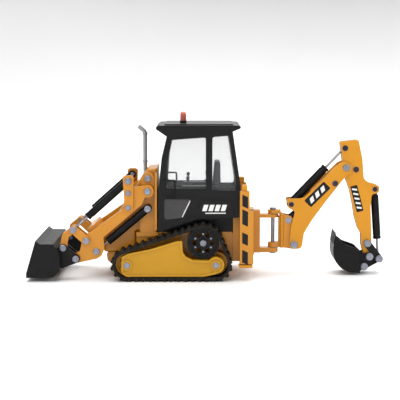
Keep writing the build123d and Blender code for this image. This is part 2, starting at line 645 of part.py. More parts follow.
# ---- loader ----
def loader_arm():
    """Left arm: cranked plate with an ear plate, slots for the lift rod and bored pivots."""
    outline = flat([
        (-31.2, 35.6), (-49.3, 20.1), (-48.9, 14.8), (-50.4, 11.2), (-52.7, 9.9), (-61.8, 7.9),
        (-62.4, 10.1), (-64.0, 11.6), (-60.6, 13.4), (-59.2, 20.0), (-57.0, 21.6), (-53.1, 24.4),
        (-39.6, 33.8), (-39.4, 40.4), (-38.2, 42.4), (-35.6, 43.4), (-28.9, 44.9), (-28.4, 42.0),
    ])
    outline += disc(ARM_PIVOT, 2.9)
    outline += disc(BUCKET_PIVOT, 2.2)
    outline += disc(ROCKER_PIVOT, 2.2)
    arm = plate(outline, -ARM_Y[1], -ARM_Y[0])
    slot = bar(LIFT_EYE, (-44.0, 20.7), 2.1, 2.1)
    arm -= plate(slot, -ARM_MID - 1.0, -ARM_MID + 1.0)
    ear = soft([(-40.0, 49.6), (-34.8, 49.6), (-35.2, 32.4), (-39.0, 32.4)], 1.4)
    arm += plate(ear, -EAR_PLATE[1], -EAR_PLATE[0])
    for point in (ARM_PIVOT, ROCKER_PIVOT, BUCKET_PIVOT):
        arm -= rod(point, PIN + FIT, -21, -11)
    for point in (LIFT_EYE, TILT_FOOT, *EAR_RIVETS):
        arm -= rod(point, PIN, -21, -11)
    return arm


def loader_arms():
    """Both arms and the square cross tube that joins them at the elbow."""
    arm = loader_arm()
    x, z = CROSS_TUBE
    seat = Plane(origin=(x, 0, z), x_dir=(0.82, 0, 0.57), z_dir=(0, 1, 0))
    tube = seat * Box(TUBE_SIDE, TUBE_SIDE, 2 * ARM_Y[0] + 0.4)
    return arm + mirrored(arm) + tube


def arm_pins():
    """Tilt ram feet, ear plate rivets and lift ram eyes."""
    pins = [headed_pin(TILT_FOOT, PIN, 14.3, EAR_PLATE[1], 1.6, 0.6)]
    pins += [headed_pin(point, PIN, 15.0, EAR_PLATE[1], 1.3, 0.4) for point in EAR_RIVETS]
    pins.append(headed_pin(LIFT_EYE, PIN, 14.4, ARM_Y[1], 1.6, 0.5))
    return pair(group(*pins))


def tilt_rockers():
    """Rocker plates inside and outside each arm."""
    face = bar(ROCKER_PIVOT, ROCKER_TIP, 2.0, 1.8)
    plates = group(plate(face, -INNER_PLATE[1], -INNER_PLATE[0]),
                   plate(face, -OUTER_PLATE[1], -OUTER_PLATE[0]))
    for point in (ROCKER_PIVOT, ROCKER_TIP):
        plates -= rod(point, PIN, -21, -11)
    return pair(plates)


def rocker_pins():
    """Rocker pivots and the pins through rams and links."""
    pins = [headed_pin(point, PIN, INNER_PLATE[0], OUTER_PLATE[1], 1.6, 0.6)
            for point in (ROCKER_PIVOT, ROCKER_TIP)]
    return pair(group(*pins))


def tilt_links():
    """Curved yellow links from the rockers to the bucket, slotted for the ram rod."""
    bulge = (-67.4, 20.9)
    face = bar(ROCKER_TIP, bulge, 1.7, 1.5) + bar(bulge, LINK_END, 1.5, 1.7)
    link = plate(face, -ARM_Y[1], -ARM_Y[0])
    slot = bar(ROCKER_TIP, (-58.0, 28.7), 2.2, 2.2)
    link -= plate(slot, -ARM_MID - 1.0, -ARM_MID + 1.0)
    for point in (ROCKER_TIP, LINK_END):
        link -= rod(point, PIN + FIT, -21, -11)
    return pair(link)


def front_bucket():
    """Wide open bucket with a bevelled cutting edge and two pairs of hitch ears."""
    outline = flat([
        (BUCKET_EDGE, 1.9), (-72.6, 2.1), (-69.4, 5.4), (-69.4, 12.2), (-72.4, 17.9),
        (-78.6, 17.9), (-80.7, 19.4), (BUCKET_EDGE, 4.0),
    ])
    shell = plate(outline, -BUCKET_HALF, BUCKET_HALF)
    hollow = soft([
        (-92.0, 3.3), (-73.2, 3.4), (-70.7, 6.0), (-70.7, 11.9), (-73.2, 16.7), (-79.0, 16.7),
        (-81.4, 18.6), (-92.0, 18.6),
    ], 0.5)
    shell -= plate(hollow, 1.4 - BUCKET_HALF, BUCKET_HALF - 1.4)
    edge = flat([(BUCKET_EDGE - 0.1, 3.4), (BUCKET_EDGE - 0.1, 2.4), (BUCKET_EDGE + 3.0, 3.4)])
    shell -= plate(edge, 1.4 - BUCKET_HALF, BUCKET_HALF - 1.4)
    ear = loop([(LINK_END, 1.7), (BUCKET_PIVOT, 2.0), ((-69.0, 6.6), 1.0)])
    ear += flat([(-70.0, 6.0), (-70.0, 12.0), (-71.6, 15.2), (-68.4, 16.2), (-66, 8)])
    ear -= soft([(-92.0, 3.3), (-73.2, 3.4), (-70.7, 6.0), (-70.7, 11.9), (-73.2, 16.7), (-92.0, 18.6)], 0.5)
    for low, high in (INNER_PLATE, OUTER_PLATE):
        shell += plate(ear, low, high) + plate(ear, -high, -low)
    for point in (LINK_END, BUCKET_PIVOT):
        shell -= rod(point, PIN, -21, 21)
    return shell


def front_bucket_pins():
    """Link and arm pins in the loader bucket's ears."""
    pins = [headed_pin(point, PIN, INNER_PLATE[0], OUTER_PLATE[1], 1.6, 0.6)
            for point in (LINK_END, BUCKET_PIVOT)]
    return pair(group(*pins))


# ---- write every sub-part ----
def main():
    """Makes and writes each sub-part once."""
    os.makedirs("parts", exist_ok=True)
    belt, side_frame = track_belt(), track_frame()
    wheels = {
        "drive_wheel": track_wheel(DRIVE_WHEEL, 7.55, 6, 21.2, 18.4),
        "front_idler": track_wheel(FRONT_IDLER, 5.55, 5, 21.2, 15.3),
        "rear_idler": track_wheel(REAR_IDLER, 5.55, 5, 18.0, 15.3),
    }
    for side, turn in (("left", lambda part: part), ("right", mirrored)):
        save(f"{side}_track_belt", turn(belt))
        save(f"{side}_track_frame", turn(side_frame))
        for name, wheel in wheels.items():
            save(f"{side}_{name}", turn(wheel))
        save(f"{side}_stabiliser_leg", turn(stabiliser_leg()))
        save(f"boom_{side}_half", turn(boom_half()))
        save(f"dipper_{side}_half", turn(dipper_half()))
    save("track_axles", track_axles())
    save("chassis_frame", chassis_frame())
    save("engine_hood", engine_hood())
    save("exhaust_stack", exhaust_stack())
    save("loader_towers", pair(loader_tower()))
    save("tower_pins", tower_pins())
    shell = cab_shell()
    save("cab_base", cab_base(shell))
    save("cab_frame", cab_frame(shell))
    save("cab_roof", cab_roof())
    save("cab_glazing", cab_glazing())
    save("cab_interior", cab_interior())
    save("grab_handles", pair(grab_handle()))
    save("beacon_base", beacon_base())
    save("beacon_lens", beacon_lens())
    save("rear_frame", rear_frame())
    save("sideshift_carriage", sideshift_carriage())
    save("swing_pin", swing_pin())
    save("kingpost", kingpost())
    save("kingpost_pins", kingpost_pins())
    save("boom_pins", boom_pins())
    save("dipper_pins", dipper_pins())
    save("boom_ram_barrel", ram_barrel(BOOM_RAM_FOOT, BOOM_RAM_EYE, 0, 1.9, 20.5, 1.45, 1.9))
    save("boom_ram_rod", ram_rod(BOOM_RAM_FOOT, BOOM_RAM_EYE, 0, 0.6, 20.5, 1.5, 1.1))
    save("dipper_ram_barrel", ram_barrel(DIPPER_RAM_FOOT, DIPPER_RAM_EYE, 0, 2.0, 24.5, 1.4, 2.0))
    save("dipper_ram_rod", ram_rod(DIPPER_RAM_FOOT, DIPPER_RAM_EYE, 0, 0.6, 24.0, 1.4, 1.1))
    save("curl_ram_barrel", ram_barrel(CURL_RAM_FOOT, CURL_ROCKER_TIP, 0, 1.9, 24.6, 1.1, 1.4))
    save("curl_ram_rod", ram_rod(CURL_RAM_FOOT, CURL_ROCKER_TIP, 0, 0.6, 22.0, 1.5, 1.1))
    save("curl_rocker", curl_rocker())
    save("curl_rocker_pins", curl_rocker_pins())
    save("curl_link", curl_link())
    save("digging_bucket", digging_bucket())
    save("digger_pin", digger_pin())
    save("loader_arms", loader_arms())
    save("arm_pins", arm_pins())
    lift = ram_barrel(LIFT_FOOT, LIFT_EYE, -ARM_MID, 1.9, 24.6, 1.4, 1.9, PIN)
    save("lift_barrels", pair(lift))
    save("lift_rods", pair(ram_rod(LIFT_FOOT, LIFT_EYE, -ARM_MID, 0.6, 22.0, 1.7, 0.8, PIN)))
    tilt = ram_barrel(TILT_FOOT, ROCKER_TIP, -ARM_MID, 1.8, 26.0, 1.35, 1.8, PIN)
    save("tilt_barrels", pair(tilt))
    save("tilt_rods", pair(ram_rod(TILT_FOOT, ROCKER_TIP, -ARM_MID, 0.6, 22.0, 1.6, 0.8, PIN)))
    save("tilt_rockers", tilt_rockers())
    save("rocker_pins", rocker_pins())
    save("tilt_links", tilt_links())
    save("front_bucket", front_bucket())
    save("front_bucket_pins", front_bucket_pins())


main()
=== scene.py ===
"""Visual model of a die-cast toy backhoe loader on rubber tracks.

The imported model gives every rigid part. This script dresses those parts with their finishes and adds
the small pieces that a maker would fit last: rivet heads, screw heads, printed panels, low door panes,
wheel bolts, lamp ribs and exhaust clamps. All lengths are in metres.
"""

from __future__ import annotations

import json
import logging
import math
from dataclasses import dataclass
from enum import Enum
from typing import Callable, Iterable, Sequence

import bmesh
import bpy
from mathutils import Matrix, Vector

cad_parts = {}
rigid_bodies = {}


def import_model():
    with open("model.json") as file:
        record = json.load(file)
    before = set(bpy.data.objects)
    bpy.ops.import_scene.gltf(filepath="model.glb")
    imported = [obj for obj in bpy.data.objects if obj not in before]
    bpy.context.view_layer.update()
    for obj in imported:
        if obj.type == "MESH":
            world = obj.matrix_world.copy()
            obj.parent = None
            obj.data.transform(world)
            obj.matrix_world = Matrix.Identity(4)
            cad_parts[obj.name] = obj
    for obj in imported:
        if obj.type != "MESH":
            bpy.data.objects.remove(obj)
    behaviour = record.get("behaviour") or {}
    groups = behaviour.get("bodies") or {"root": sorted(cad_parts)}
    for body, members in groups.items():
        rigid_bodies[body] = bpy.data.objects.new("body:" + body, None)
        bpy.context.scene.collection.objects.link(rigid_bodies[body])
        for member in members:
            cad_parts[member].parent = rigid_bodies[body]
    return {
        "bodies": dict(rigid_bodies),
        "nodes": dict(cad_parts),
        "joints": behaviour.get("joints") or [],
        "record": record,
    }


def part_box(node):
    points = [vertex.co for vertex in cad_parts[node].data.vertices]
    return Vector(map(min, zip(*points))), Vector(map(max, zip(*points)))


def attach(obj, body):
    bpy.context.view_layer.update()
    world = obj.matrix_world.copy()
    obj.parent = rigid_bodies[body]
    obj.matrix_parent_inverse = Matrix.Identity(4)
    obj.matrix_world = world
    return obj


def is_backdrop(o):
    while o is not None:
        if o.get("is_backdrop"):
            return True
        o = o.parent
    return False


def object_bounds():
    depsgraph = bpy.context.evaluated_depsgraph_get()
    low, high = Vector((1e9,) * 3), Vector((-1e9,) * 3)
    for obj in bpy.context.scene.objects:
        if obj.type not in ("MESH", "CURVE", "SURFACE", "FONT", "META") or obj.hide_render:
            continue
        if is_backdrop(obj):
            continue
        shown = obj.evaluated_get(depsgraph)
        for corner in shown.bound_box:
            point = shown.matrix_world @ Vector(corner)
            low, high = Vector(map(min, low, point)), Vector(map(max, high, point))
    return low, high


LOG = logging.getLogger("backhoe")
MM = 0.001
SHARP_EDGE = math.radians(35.0)        # edges that turn more than this are shaded sharp
AIM_X, AIM_Z = -3.7 * MM, 38.75 * MM   # where the camera looks, on the toy's near side
Colour = tuple[float, float, float]
Spot = tuple[float, float]
Spots = tuple[Spot, ...]
Spot3 = tuple[float, float, float]


# ---------------------------------------------------------------- shader maths
class Term:
    """A shader socket that can stand in a Python expression."""

    def __init__(self, sheet: "ShaderSheet", socket: bpy.types.NodeSocket) -> None:
        """Keeps the sheet that the socket is on, so that expressions can add nodes to it."""
        self.sheet = sheet
        self.socket = socket

    def __add__(self, other: "Term | float") -> "Term":
        """Adds two values."""
        return self.sheet.math("ADD", self, other)

    def __sub__(self, other: "Term | float") -> "Term":
        """Takes a value away."""
        return self.sheet.math("SUBTRACT", self, other)

    def __mul__(self, other: "Term | float") -> "Term":
        """Multiplies two values."""
        return self.sheet.math("MULTIPLY", self, other)

    def __radd__(self, other: float) -> "Term":
        """Adds to a plain number."""
        return self.sheet.math("ADD", other, self)

    def __rsub__(self, other: float) -> "Term":
        """Takes this value away from a plain number."""
        return self.sheet.math("SUBTRACT", other, self)

    def __rmul__(self, other: float) -> "Term":
        """Multiplies a plain number."""
        return self.sheet.math("MULTIPLY", other, self)


Value = Term | float | Sequence[float]


class ShaderSheet:
    """One material's nodes, made from expressions and one general node method."""

    def __init__(self, name: str) -> None:
        """Starts a material with nothing but its output.

        Args:
            name: the material's name.
        """
        self.material = bpy.data.materials.new(name)
        self.material.use_nodes = True
        self.tree = self.material.node_tree
        self.tree.nodes.clear()
        self.output = self.tree.nodes.new("ShaderNodeOutputMaterial")

    def node(self, kind: str, settings: dict | None = None,
             values: dict | None = None) -> bpy.types.Node:
        """Adds a node of any type.

        Args:
            kind: the node's type name without its ShaderNode prefix.
            settings: the node's own properties, which are set first.
            values: what each input socket takes, a number, a tuple or a Term.

        Returns:
            The new node.
        """
        made = self.tree.nodes.new("ShaderNode" + kind)
        for key, setting in (settings or {}).items():
            setattr(made, key, setting)
        for key, value in (values or {}).items():
            self.feed(made.inputs[key], value)
        return made

    def feed(self, socket: bpy.types.NodeSocket, value: Value) -> None:
        """Links a Term to a socket, or sets the socket's own value."""
        if isinstance(value, Term):
            self.tree.links.new(value.socket, socket)
        else:
            socket.default_value = value

    def math(self, operation: str, first: Term | float, second: Term | float = 0.0) -> Term:
        """Adds one Math node and returns its result."""
        made = self.node("Math", {"operation": operation}, {0: first, 1: second})
        return Term(self, made.outputs[0])

    def place(self, scale: float = 1.0, stretch: Sequence[float] = (1.0, 1.0, 1.0)) -> Term:
        """Object coordinates, scaled.

        Args:
            scale: how many pattern units there are in a metre.
            stretch: extra scale along each axis.

        Returns:
            A vector Term.
        """
        source = self.node("TexCoord")
        mapping = self.node("Mapping", None, {
            "Vector": Term(self, source.outputs["Object"]),
            "Scale": tuple(scale * part for part in stretch),
        })
        return Term(self, mapping.outputs[0])

    def noise(self, at: Term, detail: float = 3.0, roughness: float = 0.5) -> Term:
        """Smooth noise from 0 to 1 at a place."""
        made = self.node("TexNoise", None, {
            "Vector": at, "Scale": 1.0, "Detail": detail, "Roughness": roughness,
        })
        return Term(self, made.outputs[0])

    def spread(self, value: Term, low: float, high: float) -> Term:
        """Stretches the middle of a 0 to 1 value between two limits."""
        made = self.node("MapRange", None, {
            "Value": value, "From Min": 0.3, "From Max": 0.7, "To Min": low, "To Max": high,
        })
        return Term(self, made.outputs[0])

    def step(self, value: Term, low: float, high: float) -> Term:
        """Rises from 0 to 1 between two values."""
        made = self.node("MapRange", {"interpolation_type": "SMOOTHSTEP"}, {
            "Value": value, "From Min": low, "From Max": high, "To Min": 0.0, "To Max": 1.0,
        })
        return Term(self, made.outputs[0])

    def blend(self, factor: Term | float, first: Value, second: Value) -> Term:
        """Mixes two colours."""
        made = self.node("Mix", {"data_type": "RGBA"})
        self.feed(made.inputs[0], factor)
        self.feed(made.inputs[6], first if isinstance(first, Term) else (*first, 1.0))
        self.feed(made.inputs[7], second if isinstance(second, Term) else (*second, 1.0))
        return Term(self, made.outputs[2])

    def axis(self, at: Term, name: str) -> Term:
        """One coordinate of a vector."""
        made = self.node("SeparateXYZ", None, {0: at})
        return Term(self, made.outputs[name])

    def relief(self, height: Term, depth: float, rounding: float) -> Term:
        """Surface normal from a height pattern over slightly rounded edges.

        Args:
            height: the pattern, from 0 to 1.
            depth: the pattern's height in metres.
            rounding: radius of the moulded or painted edges in metres.

        Returns:
            A normal Term.
        """
        edge = self.node("Bevel", {"samples": 4}, {"Radius": rounding})
        made = self.node("Bump", None, {
            "Strength": 1.0, "Distance": depth, "Height": height,
            "Normal": Term(self, edge.outputs[0]),
        })
        return Term(self, made.outputs[0])

    def surface(self, **sockets: Value) -> bpy.types.Material:
        """Puts a Principled shader on the material.

        Args:
            sockets: values by socket name, with underscores for spaces.

        Returns:
            The finished material.
        """
        made = self.node("BsdfPrincipled")
        for key, value in sockets.items():
            socket = made.inputs[key.replace("_", " ")]
            is_colour = isinstance(value, tuple) and len(value) == 3 and socket.type == "RGBA"
            self.feed(socket, (*value, 1.0) if is_colour else value)
        self.tree.links.new(made.outputs[0], self.output.inputs[0])
        return self.material


# ---------------------------------------------------------------- finishes
@dataclass(frozen=True)
class Enamel:
    """Sprayed enamel on a die-cast part, with a faint orange peel."""

    name: str
    colour: Colour
    shade: Colour
    roughness: float = 0.3
    coat: float = 0.15
    specular: float = 0.35

    def make(self) -> bpy.types.Material:
        """Builds the material."""
        sheet = ShaderSheet(self.name)
        broad = sheet.noise(sheet.place(60.0), 2.0)
        fine = sheet.noise(sheet.place(900.0), 3.0, 0.6)
        peel = sheet.noise(sheet.place(2200.0), 2.0)
        tone = sheet.spread(broad * 0.6 + fine * 0.4, 0.0, 1.0)
        return sheet.surface(
            Base_Color=sheet.blend(tone, self.colour, self.shade),
            Roughness=sheet.spread(fine, self.roughness - 0.05, self.roughness + 0.08),
            Specular_IOR_Level=self.specular,
            Coat_Weight=self.coat,
            Coat_Roughness=0.12,
            Normal=sheet.relief(peel, 0.012 * MM, 0.16 * MM),
        )


@dataclass(frozen=True)
class MouldedPlastic:
    """Injection-moulded plastic with a fine tool texture and faint flow marks."""

    name: str
    colour: Colour
    shade: Colour
    roughness: float
    grain: float = 0.01
    specular: float = 0.3

    def make(self) -> bpy.types.Material:
        """Builds the material."""
        sheet = ShaderSheet(self.name)
        flow = sheet.noise(sheet.place(90.0, (0.4, 1.0, 1.6)), 4.0, 0.55)
        texture = sheet.noise(sheet.place(3200.0), 2.0, 0.7)
        gloss = 0.5 * flow + 0.5 * texture
        return sheet.surface(
            Base_Color=sheet.blend(sheet.spread(flow, 0.0, 1.0), self.colour, self.shade),
            Roughness=sheet.spread(gloss, self.roughness - 0.06, self.roughness + 0.08),
            Specular_IOR_Level=self.specular,
            Normal=sheet.relief(texture, self.grain * MM, 0.14 * MM),
        )


@dataclass(frozen=True)
class TrackRubber:
    """Dull gritty rubber with a paler bloom in patches."""

    name: str
    colour: Colour
    bloom: Colour

    def make(self) -> bpy.types.Material:
        """Builds the material."""
        sheet = ShaderSheet(self.name)
        patch = sheet.noise(sheet.place(160.0), 4.0, 0.6)
        grit = sheet.noise(sheet.place(2600.0), 3.0, 0.7)
        mask = 0.8 * sheet.step(patch, 0.45, 0.75)
        return sheet.surface(
            Base_Color=sheet.blend(mask, self.colour, self.bloom),
            Roughness=sheet.spread(grit, 0.62, 0.85),
            Specular_IOR_Level=0.15,
            Normal=sheet.relief(grit, 0.035 * MM, 0.2 * MM),
        )


@dataclass(frozen=True)
class BareMetal:
    """Plated or drawn metal with fine turning marks."""

    name: str
    colour: Colour
    shade: Colour
    roughness: float
    stretch: tuple[float, float, float] = (1.0, 0.15, 1.0)

    def make(self) -> bpy.types.Material:
        """Builds the material."""
        sheet = ShaderSheet(self.name)
        marks = sheet.noise(sheet.place(2400.0, self.stretch), 3.0, 0.6)
        tone = sheet.noise(sheet.place(350.0), 3.0)
        return sheet.surface(
            Base_Color=sheet.blend(sheet.spread(tone, 0.0, 1.0), self.colour, self.shade),
            Metallic=1.0,
            Roughness=sheet.spread(marks, self.roughness - 0.06, self.roughness + 0.1),
            Normal=sheet.relief(marks, 0.008 * MM, 0.12 * MM),
        )


@dataclass(frozen=True)
class ClearPlastic:
    """Clear glazing, see-through with a soft gloss."""

    name: str
    colour: Colour
    alpha: float

    def make(self) -> bpy.types.Material:
        """Builds the material."""
        sheet = ShaderSheet(self.name)
        haze = sheet.noise(sheet.place(220.0), 3.0)
        return sheet.surface(
            Base_Color=self.colour,
            Roughness=sheet.spread(haze, 0.04, 0.1),
            Alpha=self.alpha,
            Coat_Weight=0.4,
            Coat_Roughness=0.04,
        )


@dataclass(frozen=True)
class LampPlastic:
    """Coloured translucent lens plastic, deeper in tone towards its foot."""

    name: str
    colour: Colour
    deep: Colour

    def make(self) -> bpy.types.Material:
        """Builds the material."""
        sheet = ShaderSheet(self.name)
        height = sheet.axis(sheet.place(1.0), "Z")
        tone = sheet.step(height, 0.0745, 0.0785)
        swirl = sheet.noise(sheet.place(700.0), 2.0)
        return sheet.surface(
            Base_Color=sheet.blend(1.0 - tone, self.colour, self.deep),
            Roughness=sheet.spread(swirl, 0.12, 0.22),
            Coat_Weight=0.6,
            Coat_Roughness=0.08,
            Normal=sheet.relief(swirl, 0.01 * MM, 0.1 * MM),
        )


class Finish(Enum):
    """Every finish on the toy."""

    YELLOW_ENAMEL = Enamel("yellow_enamel", (0.56, 0.225, 0.009), (0.51, 0.198, 0.007))
    FRAME_PLASTIC = MouldedPlastic("frame_plastic", (0.5, 0.255, 0.008), (0.465, 0.232, 0.006), 0.33)
    YELLOW_PLASTIC = MouldedPlastic("yellow_plastic", (0.6, 0.255, 0.009), (0.56, 0.232, 0.007), 0.33)
    BLACK_PLASTIC = MouldedPlastic(
        "black_plastic", (0.006, 0.006, 0.0065), (0.009, 0.009, 0.0095), 0.34,
        grain=0.014, specular=0.16)
    RAM_BLACK = MouldedPlastic(
        "ram_black", (0.004, 0.004, 0.0045), (0.007, 0.007, 0.0075), 0.26, grain=0.006, specular=0.12)
    BUCKET_BLACK = Enamel(
        "bucket_black", (0.006, 0.006, 0.0065), (0.01, 0.01, 0.0105), 0.4, coat=0.0, specular=0.12)
    RUBBER = TrackRubber("track_rubber", (0.012, 0.0105, 0.008), (0.03, 0.025, 0.018))
    RIVET = BareMetal("rivet_steel", (0.3, 0.31, 0.36), (0.22, 0.23, 0.27), 0.36)
    SCREW = BareMetal("blackened_screw", (0.07, 0.05, 0.05), (0.04, 0.03, 0.035), 0.35)
    ROD = BareMetal("plated_rod", (0.36, 0.36, 0.38), (0.26, 0.26, 0.28), 0.24)
    EXHAUST = BareMetal("exhaust_plate", (0.34, 0.34, 0.34), (0.26, 0.26, 0.26), 0.3, (1.0, 1.0, 0.1))
    GLAZING = ClearPlastic("clear_glazing", (0.2, 0.21, 0.22), 0.15)
    SMOKED = MouldedPlastic(
        "smoked_pane", (0.03, 0.028, 0.028), (0.036, 0.033, 0.033), 0.16, grain=0.002, specular=0.4)
    LENS = LampPlastic("beacon_lens", (0.62, 0.1, 0.045), (0.3, 0.03, 0.02))
    PRINT_BLACK = MouldedPlastic(
        "printed_black", (0.007, 0.007, 0.0075), (0.01, 0.01, 0.0105), 0.4, specular=0.2)
    PRINT_WHITE = MouldedPlastic("printed_white", (0.78, 0.78, 0.77), (0.72, 0.72, 0.71), 0.4)


class FinishShop:
    """Makes each finish once and hands it out."""

    def __init__(self) -> None:
        """Starts with nothing made."""
        self._made: dict[Finish, bpy.types.Material] = {}

    def get(self, finish: Finish) -> bpy.types.Material:
        """Returns the finish's material, made on first use."""
        if finish not in self._made:
            self._made[finish] = finish.value.make()
        return self._made[finish]


# ---------------------------------------------------------------- bench
class Bench:
    """Turns bmeshes into pieces that ride on the toy's bodies."""

    def __init__(self, frame: dict, shop: FinishShop) -> None:
        """Keeps the loaded frame and the finishes.

        Args:
            shop: where finishes come from.
        """
        self.frame = frame
        self.shop = shop

    def dress(self, node: str, finish: Finish) -> None:
        """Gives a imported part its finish."""
        data = self.frame["nodes"][node].data
        data.materials.clear()
        data.materials.append(self.shop.get(finish))

    def fit(self, name: str, mesh: bmesh.types.BMesh, body: str, finish: Finish,
            slot: str) -> bpy.types.Object:
        """Makes an object of a bmesh and fixes it to a body.

        Args:
            name: the piece's name.
            mesh: its shape, already in place. It is freed.
            body: the body it rides on.
            finish: its finish.
            slot: not used.

        Returns:
            The new object.
        """
        for face in mesh.faces:
            face.smooth = True
        for edge in mesh.edges:
            edge.smooth = len(edge.link_faces) == 2 and edge.calc_face_angle(0.0) < SHARP_EDGE
        data = bpy.data.meshes.new(name)
        mesh.to_mesh(data)
        mesh.free()
        data.materials.append(self.shop.get(finish))
        piece = bpy.data.objects.new(name, data)
        bpy.context.scene.collection.objects.link(piece)
        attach(piece, body)
        LOG.info("%s: %d faces on %s", name, len(data.polygons), body)
        return piece

    def lumps(self, node: str) -> list[tuple[Vector, Vector]]:
        """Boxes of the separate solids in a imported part.

        Args:
            node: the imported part's name.

        Returns:
            The lowest and highest corner of each solid, from the front of the toy to its back.
        """
        mesh = bmesh.new()
        mesh.from_mesh(self.frame["nodes"][node].data)
        bmesh.ops.remove_doubles(mesh, verts=mesh.verts, dist=0.001 * MM)
        left = set(mesh.verts)
        found = []
        while left:
            stack = [left.pop()]
            island = []
            while stack:
                vertex = stack.pop()
                island.append(vertex.co.copy())
                for edge in vertex.link_edges:
                    other = edge.other_vert(vertex)
                    if other in left:
                        left.remove(other)
                        stack.append(other)
            low = Vector(min(co[axis] for co in island) for axis in range(3))
            high = Vector(max(co[axis] for co in island) for axis in range(3))
            found.append((low, high))
        mesh.free()
        return sorted(found, key=lambda pair: (round(pair[0].x, 5), round(pair[0].z, 5), pair[0].y))


def grow(mesh: bmesh.types.BMesh, other: bmesh.types.BMesh) -> None:
    """Copies one bmesh into another and frees the copied one."""
    data = bpy.data.meshes.new("part")
    other.to_mesh(data)
    other.free()
    mesh.from_mesh(data)
    bpy.data.meshes.remove(data)


def disc_stack(radius: float, height: float, bevel: float, sides: int = 28) -> bmesh.types.BMesh:
    """Short cylinder on the XY plane whose upper rim is rounded over.

    Args:
        radius: its radius.
        height: its height along +Z.
        bevel: how much of the rim is rounded.
        sides: how many sides the circle has.

    Returns:
        The new bmesh.
    """
    mesh = bmesh.new()
    bmesh.ops.create_cone(mesh, cap_ends=True, segments=sides, radius1=radius, radius2=radius,
                          depth=height)
    bmesh.ops.translate(mesh, verts=mesh.verts, vec=(0, 0, height / 2))
    rim = [edge for edge in mesh.edges if all(vertex.co.z > height * 0.99 for vertex in edge.verts)]
    bmesh.ops.bevel(mesh, geom=rim, offset=bevel, segments=4, profile=0.5, affect="EDGES", material=-1)
    return mesh


def rivet_head(radius: float) -> bmesh.types.BMesh:
    """Low domed head with a shallow dimple from the riveting tool, rising along +Z."""
    mesh = disc_stack(radius, radius * 0.2, radius * 0.18)
    top = max(mesh.faces, key=lambda face: face.calc_center_median().z * 1000 + face.calc_area())
    bmesh.ops.inset_individual(mesh, faces=[top], thickness=radius * 0.3)
    bmesh.ops.inset_individual(mesh, faces=[top], thickness=radius * 0.12)
    bmesh.ops.translate(mesh, verts=top.verts, vec=(0, 0, -radius * 0.1))
    return mesh


def screw_head(radius: float) -> bmesh.types.BMesh:
    """Pan head with a cross recess, rising along +Z.

    The inset top face is pulled into a cross by moving its corners along their own directions, and
    then pushed down.
    """
    reach, half_slot, depth = 0.6 * radius, 0.17 * radius, 0.12 * radius
    mesh = disc_stack(radius, radius * 0.2, radius * 0.15, 32)
    top = max(mesh.faces, key=lambda face: face.calc_center_median().z * 1000 + face.calc_area())
    bmesh.ops.inset_individual(mesh, faces=[top], thickness=radius * 0.2)
    for vertex in top.verts:
        turn = math.atan2(vertex.co.y, vertex.co.x) % (math.pi / 2)
        turn = min(turn, math.pi / 2 - turn)
        past_arm = turn > math.atan2(half_slot, reach)
        distance = half_slot / math.sin(turn) if past_arm else reach / math.cos(turn)
        flat_place = vertex.co.xy.normalized() * distance
        vertex.co.x, vertex.co.y = flat_place
    bmesh.ops.inset_individual(mesh, faces=[top], thickness=radius * 0.01, depth=-depth)
    return mesh


def sideways(mesh: bmesh.types.BMesh, x: float, y: float, z: float, side: int) -> bmesh.types.BMesh:
    """Turns a shape that rises along +Z to rise along +Y or -Y and moves it.

    Args:
        mesh: the shape, changed in place.
        x: where it goes.
        y: where it goes.
        z: where it goes.
        side: 1 to face +Y, -1 to face -Y.

    Returns:
        The same bmesh.
    """
    turn = Matrix.Rotation(-side * math.pi / 2, 4, "X")
    bmesh.ops.transform(mesh, verts=mesh.verts, matrix=Matrix.Translation((x, y, z)) @ turn)
    return mesh


def panel(corners: Sequence[tuple[float, float]], y: float, thick: float, round_by: float = 0.0,
          side: int = -1) -> bmesh.types.BMesh:
    """Flat side-view panel with rounded corners.

    Args:
        corners: (x, z) corners in order.
        y: the face it lies on.
        thick: how far it stands proud of that face.
        round_by: corner radius, or 0 for sharp corners.
        side: 1 if the face looks along +Y, -1 if it looks along -Y.

    Returns:
        The new bmesh.
    """
    mesh = bmesh.new()
    ring = [mesh.verts.new((x, y, z)) for x, z in corners]
    mesh.faces.new(ring)
    if round_by > 0.0:
        bmesh.ops.bevel(mesh, geom=list(mesh.verts), offset=round_by, segments=4, profile=0.5,
                        affect="VERTICES", material=-1)
    grown = bmesh.ops.extrude_face_region(mesh, geom=list(mesh.faces))
    moved = [item for item in grown["geom"] if isinstance(item, bmesh.types.BMVert)]
    bmesh.ops.translate(mesh, verts=moved, vec=(0, side * thick, 0))
    bmesh.ops.recalc_face_normals(mesh, faces=mesh.faces)
    return mesh


def tilted_box(centre: tuple[float, float], length: float, width: float, angle: float,
               slant: float = 0.0) -> list[tuple[float, float]]:
    """Corners of a turned rectangle or parallelogram in the side view.

    Args:
        centre: its (x, z) middle.
        length: size along its own axis.
        width: size across it.
        angle: direction of its own axis in degrees.
        slant: how far the upper edge is shifted along the axis.

    Returns:
        Four corners in order.
    """
    along = Vector((math.cos(math.radians(angle)), math.sin(math.radians(angle))))
    across = Vector((-along.y, along.x))
    corners = []
    for step, rise in ((-0.5, -0.5), (0.5, -0.5), (0.5, 0.5), (-0.5, 0.5)):
        point = Vector(centre) + along * (length * step + slant * rise) + across * (width * rise)
        corners.append((point.x, point.y))
    return corners


def spots_along(centre: Spot, angle: float, count: int, pitch: float) -> list[Spot]:
    """Evenly spaced side-view places on a line, centred on its middle.

    Args:
        centre: the line's (x, z) middle.
        angle: the line's direction in degrees.
        count: how many places.
        pitch: distance from one to the next.

    Returns:
        The places in order.
    """
    along = Vector((math.cos(math.radians(angle)), math.sin(math.radians(angle))))
    steps = [(number - (count - 1) / 2) * pitch for number in range(count)]
    return [tuple(Vector(centre) + along * step) for step in steps]


